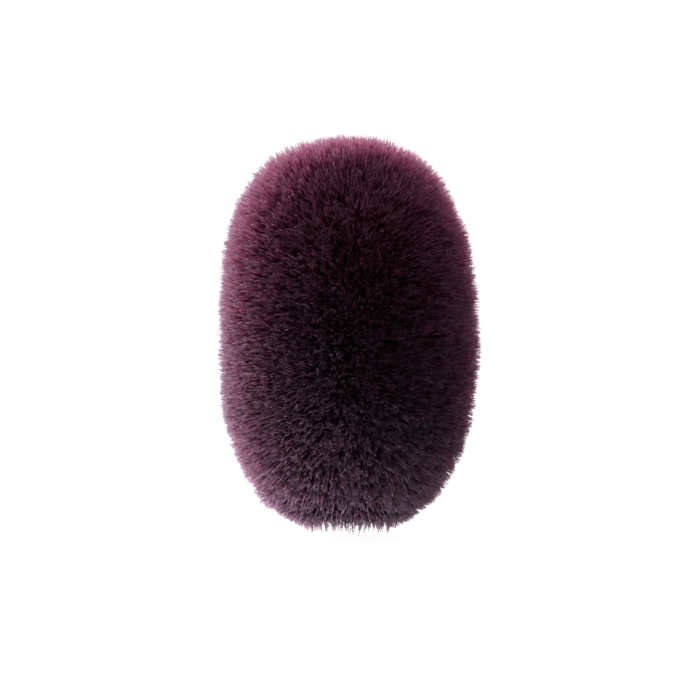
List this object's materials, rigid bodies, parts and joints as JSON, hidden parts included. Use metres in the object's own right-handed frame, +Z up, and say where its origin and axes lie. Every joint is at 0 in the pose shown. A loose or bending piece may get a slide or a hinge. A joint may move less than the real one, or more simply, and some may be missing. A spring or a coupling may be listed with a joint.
{
  "type": "furry windscreen",
  "caption": "Slip-on fur-covered windscreen for a miniature lavalier microphone: rounded oval pile cover over a drilled foam core with a silicone sleeve.",
  "frame": {"origin": "where the microphone enters the straight wall of the sleeve's bore, on the bore's axis", "axes": "+Z up along the microphone's axis towards the crown, -Y the front panel, +X to the viewer's right"},
  "size_m": [0.029, 0.029, 0.0433],
  "materials": {
    "pile": "matte",
    "backing": "matte",
    "thread": "satin",
    "binding": "matte",
    "elastic": "matte",
    "foam": "matte",
    "liner": "matte",
    "neck": "matte",
    "sleeve": "satin"
  },
  "bodies": {
    "sleeve": {"mic_sleeve": "sleeve"},
    "core": {"neck_ring": "neck", "foam_body": "foam", "foam_nose_plug": "foam", "bore_liner": "liner"},
    "cover": {"pile_front": "pile", "pile_rear": "pile", "backing_front": "backing", "backing_rear": "backing", "side_seam_thread": "thread", "hem_binding": "binding", "hem_stitching": "thread", "elastic_cord": "elastic"}
  },
  "joints": [
    {"name": "core_pull_off", "type": "slide", "parent": "sleeve", "child": "core", "axis": [0, 0, 1], "range_m": [0, 0.012]},
    {"name": "cover_slip_off", "type": "slide", "parent": "core", "child": "cover", "axis": [0, 0, 1], "range_m": [0, 0.042], "deforming": ["pile_front", "pile_rear", "backing_front", "backing_rear", "side_seam_thread", "hem_binding", "hem_stitching", "elastic_cord"]}
  ]
}
